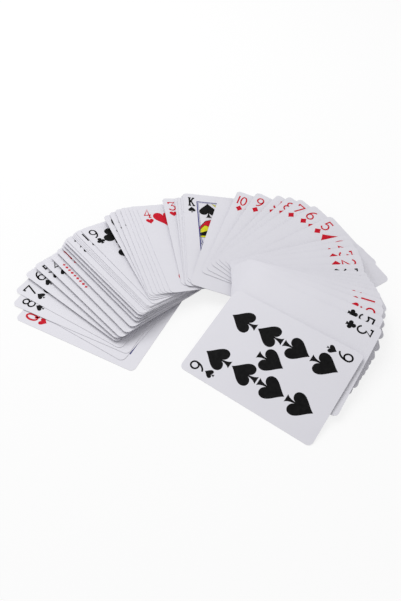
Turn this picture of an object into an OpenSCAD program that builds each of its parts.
// Deck of playing cards, spread face up in a fan on a table

/* [Card] */
// Width of one card
card_w = 63; // [55:0.5:75]
// Length of one card
card_l = 88; // [80:0.5:110]
// Thickness of one card
card_t = 0.27; // [0.2:0.01:0.4]
// Radius of the rounded corners
corner_r = 3.2; // [1:0.1:6]

/* [Fan] */
// Radius of the arc that the cards are spread along
fan_r = 60; // [54:0.5:80]
// Air left between two cards that touch
card_gap = 0.05; // [0.05:0.01:0.2]
// Most that a card leans on the cards before it, in degrees
fan_lean = 10.4; // [8:0.1:14]
// Most that the top card leans, in degrees
top_lean = 12.5; // [8:0.1:16]
// Number of cards that lie flat at the start of the fan
flat_cards = 4; // [3:1:6]
// Number of cards over which the lean grows to its full value
ramp_cards = 8; // [5:1:12]

/* [Hidden] */
// The cards from the bottom of the deck to the top
NODES = [
    "queen_of_hearts", "two_of_hearts", "eight_of_spades", "seven_of_spades", "six_of_spades",
    "five_of_spades", "four_of_spades", "red_joker", "king_of_diamonds", "ace_of_hearts",
    "five_of_hearts", "six_of_hearts", "two_of_spades", "seven_of_hearts", "eight_of_hearts",
    "ace_of_diamonds", "ten_of_clubs", "nine_of_clubs", "queen_of_spades", "jack_of_clubs",
    "king_of_clubs", "queen_of_clubs", "four_of_clubs", "ten_of_spades", "jack_of_spades",
    "four_of_hearts", "three_of_hearts", "eight_of_clubs", "ace_of_spades", "two_of_clubs",
    "king_of_spades", "black_joker", "ten_of_diamonds", "nine_of_diamonds", "jack_of_diamonds",
    "eight_of_diamonds", "seven_of_diamonds", "six_of_diamonds", "five_of_diamonds", "queen_of_diamonds",
    "four_of_diamonds", "three_of_diamonds", "two_of_diamonds", "three_of_spades", "seven_of_clubs",
    "six_of_clubs", "ace_of_clubs", "king_of_hearts", "jack_of_hearts", "ten_of_hearts",
    "nine_of_hearts", "five_of_clubs", "three_of_clubs", "nine_of_spades"
];

// How each card lies: place on the arc and heading of its long side in degrees,
// and the share of its own length by which it is pulled out past the arc
lie_shares = [
    [175.5, 153, 0.08], [168, 147.5, 0.12], [166.5, 153.5, 0.15], [162, 148, 0.17], [156.5, 140.5, 0.15],
    [153.5, 135.5, 0.11], [151.5, 133, 0.06], [147.5, 131.5, 0.03], [143, 131, 0.02], [139, 131, 0.02],
    [137.5, 131, 0.02], [136, 131, 0.02], [134.5, 130.5, 0.02], [130.5, 130, 0.02], [129.5, 130, 0.03],
    [128.5, 130, 0.03], [127.5, 129.5, 0.03], [124, 129, 0.03], [114.5, 116, 0], [112, 113, 0],
    [109.5, 110.5, 0], [106.5, 109.5, 0], [103.5, 109.5, 0], [101, 109, 0], [98.5, 109, 0],
    [95.5, 109, 0], [83, 101, 0.06], [77.5, 96, 0.05], [76, 95, 0.04], [75, 94, 0.07],
    [74.5, 93.5, 0.09], [59, 76.5, 0.01], [55, 71.5, 0.14], [49, 63.5, 0.16], [43.5, 54, 0.18],
    [40.5, 49.5, 0.2], [37.5, 44.5, 0.21], [32, 39.5, 0.22], [24.5, 33, 0.22], [16.5, 17, 0.12],
    [14, 14, 0.1], [11, 9.5, 0.08], [6.5, 6, 0.06], [1.5, 1.5, 0.03], [-1.5, -4, 0.01],
    [-3, -8, 0], [-4.5, -12, 0], [-6, -16, 0], [-7.5, -20, 0], [-10.5, -23.5, 0],
    [-13.5, -27.5, -0.01], [-18, -31, -0.02], [-25, -33, -0.02], [-45.5, -35.5, -0.05]
];

// Direction of a card's long side, seen from above, out of the fan
function out_dir(i) = [cos(lie_shares[i][1]), sin(lie_shares[i][1])];

// Direction across a card, from its low side to its raised side
function side_dir(i) = [-sin(lie_shares[i][1]), cos(lie_shares[i][1])];

// Middle of a card, seen from above
function middle(i) =
    (fan_r + lie_shares[i][2] * card_l) * [cos(lie_shares[i][0]), sin(lie_shares[i][0])];

// Most that a card leans: the first cards lie flat, and the lean then grows card by card
function full_lean(i) =
    i == len(lie_shares) - 1 ? top_lean : fan_lean * max(0, min(1, (i - flat_cards + 1) / ramp_cards));

// Middle of the low side of a card's underside
function low_side(i) = middle(i) - side_dir(i) * card_w * cos(full_lean(i)) / 2;

// Distance of a point from a card's low side, seen from above
function from_low(i, p) = (p - low_side(i)) * side_dir(i);

// Outline of the upper side of a card at a lean, seen from above
function outline(i, lean) = [
    for (c = [[1, 1], [-1, 1], [-1, 0], [1, 0]])
        low_side(i) + out_dir(i) * c[0] * card_l / 2
            + side_dir(i) * (c[1] * card_w * cos(lean) - card_t * sin(lean))
];

// The part of an outline on the side of the line through p that n points to
function keep_side(pts, p, n) = [
    for (k = [0 : 1 : len(pts) - 1])
        let (
            a = pts[k],
            b = pts[(k + 1) % len(pts)],
            da = (a - p) * n,
            db = (b - p) * n
        )
        each concat(da >= 0 ? [a] : [], da * db < 0 ? [a + (b - a) * da / (da - db)] : [])
];

// The part of an outline that lies below a card of a width seen from above
function part_below(pts, j, width) =
    let (
        half = out_dir(j) * card_l / 2,
        low = low_side(j),
        ends = keep_side(keep_side(pts, low + half, -out_dir(j)), low - half, out_dir(j))
    )
    keep_side(keep_side(ends, low, side_dir(j)), low + side_dir(j) * width, -side_dir(j));

// Where card j can meet the cards below it, which lie with a lift and a lean each:
// distance from its low side, and height of the upper side there with the air that is left
function rests(j, lies, width) = [
    for (i = [0 : 1 : j - 1], p = part_below(outline(i, lies[i][1]), j, width))
        [
            from_low(j, p),
            lies[i][0] + from_low(i, p) * tan(lies[i][1]) + card_t / cos(lies[i][1]) + card_gap
        ]
];

// A card comes down at its full lean until it meets a card below it.
// If its low side meets the table first, it turns down about that side until it rests on a card
function lie(j, lies) =
    let (
        full = full_lean(j),
        lift = max(concat([-card_l], [for (r = rests(j, lies, card_w * cos(full))) r[1] - r[0] * tan(full)]))
    )
    lift >= 0 ? [lift, full] : [0, max(concat([0], [for (r = rests(j, lies, card_w)) atan2(r[1], r[0])]))];

// The whole deck, laid down card after card, as the lift and the lean of each
function lay(lies) = len(lies) == len(lie_shares) ? lies : lay(concat(lies, [lie(len(lies), lies)]));
lies = lay([[0, 0]]);

// Furthest reach of a card in a direction seen from above, round corners included
function card_reach(i, d) =
    let (
        lean = lies[i][1],
        along = abs(out_dir(i) * d),
        across = abs(side_dir(i) * d) * cos(lean),
        shift = max(0, -side_dir(i) * d * card_t * sin(lean))
    )
    (low_side(i) + side_dir(i) * card_w * cos(lean) / 2) * d
        + along * (card_l / 2 - corner_r) + across * (card_w / 2 - corner_r)
        + corner_r * norm([along, across]) + shift;
function fan_reach(d) = max([for (i = [0 : len(lie_shares) - 1]) card_reach(i, d)]);

// The origin is on the table, below the middle of the spread deck
centre_x = (fan_reach([1, 0]) - fan_reach([-1, 0])) / 2;
centre_y = (fan_reach([0, 1]) - fan_reach([0, -1])) / 2;

// Outline of one card with round corners
module card_outline() {
    square([card_l - 2 * corner_r, card_w], center = true);
    square([card_l, card_w - 2 * corner_r], center = true);
    for (x = [-1, 1], y = [-1, 1])
        translate([x * (card_l / 2 - corner_r), y * (card_w / 2 - corner_r)])
            circle(r = corner_r, $fn = 48);
}

// One card where it lies, leaning about its low long side
module card(i) {
    low = low_side(i);
    color([0.87, 0.87, 0.89])
        translate([low[0] - centre_x, low[1] - centre_y, lies[i][0]])
            rotate([0, 0, lie_shares[i][1]])
                rotate([lies[i][1], 0, 0])
                    translate([0, card_w / 2, 0])
                        linear_extrude(height = card_t)
                            card_outline();
}

for (i = [0 : len(NODES) - 1])
    card(i);
